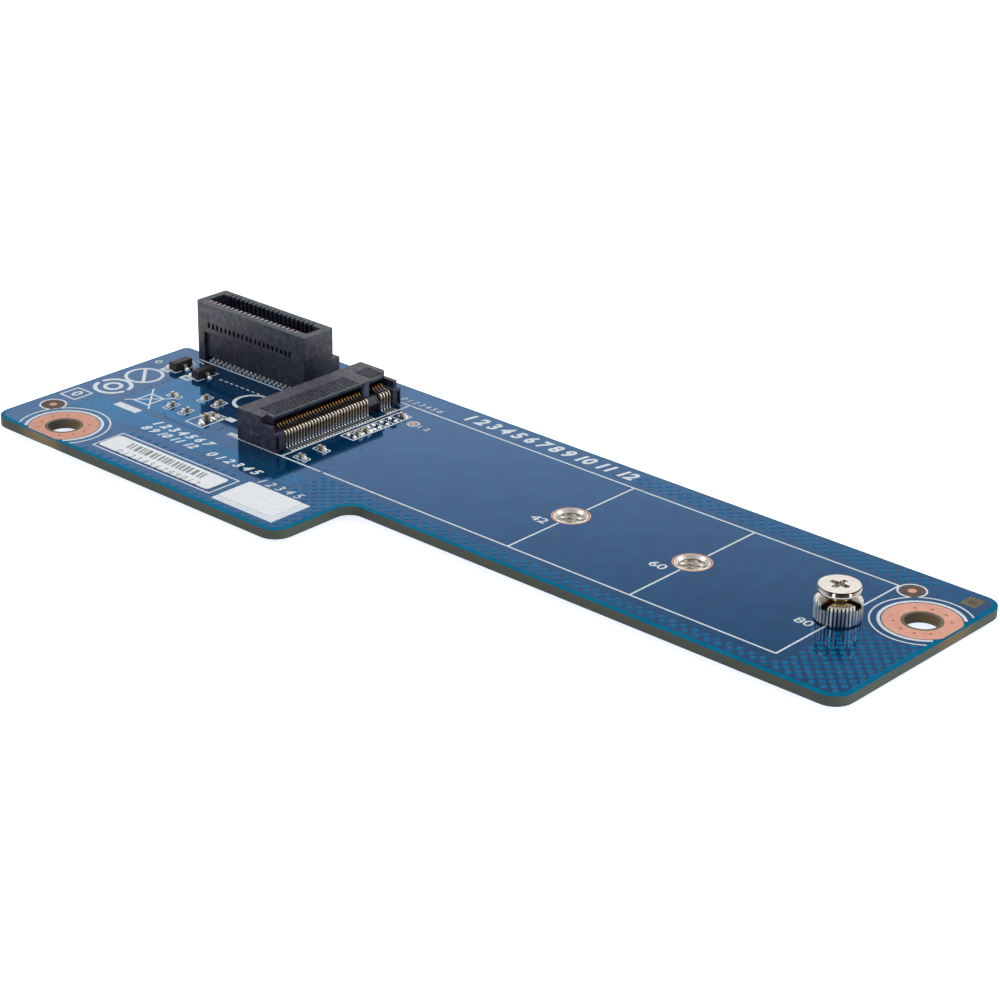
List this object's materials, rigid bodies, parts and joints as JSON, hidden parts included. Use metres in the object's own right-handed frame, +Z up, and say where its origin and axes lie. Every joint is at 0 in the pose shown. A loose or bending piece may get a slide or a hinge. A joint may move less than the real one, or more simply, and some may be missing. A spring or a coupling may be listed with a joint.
{
  "type": "gumstick ssd adapter card",
  "caption": "Stepped blue circuit card that carries a gumstick drive flat: keyed drive socket, tall edge card socket, threaded inserts and a knurled standoff with clamp screw.",
  "frame": {"origin": "middle of the card's length and width, level with the undersides of the threaded inserts", "axes": "+X along the card away from the sockets, +Y across to the straight far edge, +Z up out of the component side"},
  "size_m": [0.1216, 0.0428, 0.0104],
  "materials": {
    "masked_laminate": "glossy deep blue solder mask over glass laminate",
    "insert_tin": "tin plated turned brass",
    "bright_nickel": "bright nickel plating",
    "socket_polymer": "fine matt moulded glass-filled polymer",
    "contact_gold": "thin gold plating on stamped strip",
    "lead_tin": "soldered tin plating",
    "transistor_epoxy": "satin moulded epoxy",
    "capacitor_ceramic": "dull fired ceramic",
    "cap_tin": "wet solder on tin",
    "label_paper": "coated white label paper"
  },
  "bodies": {
    "root": {"capacitor_10_caps": "cap_tin", "capacitor_10_ceramic": "capacitor_ceramic", "capacitor_11_caps": "cap_tin", "capacitor_11_ceramic": "capacitor_ceramic", "capacitor_12_caps": "cap_tin", "capacitor_12_ceramic": "capacitor_ceramic", "capacitor_1_caps": "cap_tin", "capacitor_1_ceramic": "capacitor_ceramic", "capacitor_2_caps": "cap_tin", "capacitor_2_ceramic": "capacitor_ceramic", "capacitor_3_caps": "cap_tin", "capacitor_3_ceramic": "capacitor_ceramic", "capacitor_4_caps": "cap_tin", "capacitor_4_ceramic": "capacitor_ceramic", "capacitor_5_caps": "cap_tin", "capacitor_5_ceramic": "capacitor_ceramic", "capacitor_6_caps": "cap_tin", "capacitor_6_ceramic": "capacitor_ceramic", "capacitor_7_caps": "cap_tin", "capacitor_7_ceramic": "capacitor_ceramic", "capacitor_8_caps": "cap_tin", "capacitor_8_ceramic": "capacitor_ceramic", "capacitor_9_caps": "cap_tin", "capacitor_9_ceramic": "capacitor_ceramic", "circuit_board": "masked_laminate", "clamp_screw": "bright_nickel", "drive_socket_hold_downs": "lead_tin", "drive_socket_housing": "socket_polymer", "drive_socket_lower_contacts": "contact_gold", "drive_socket_upper_contacts": "contact_gold", "drive_standoff": "bright_nickel", "edge_socket_back_contacts": "contact_gold", "edge_socket_front_contacts": "contact_gold", "edge_socket_housing": "socket_polymer", "serial_label": "label_paper", "stage_label": "label_paper", "threaded_inserts": "insert_tin", "transistor_1_block": "transistor_epoxy", "transistor_1_leads": "lead_tin", "transistor_2_block": "transistor_epoxy", "transistor_2_leads": "lead_tin"}
  },
  "joints": []
}
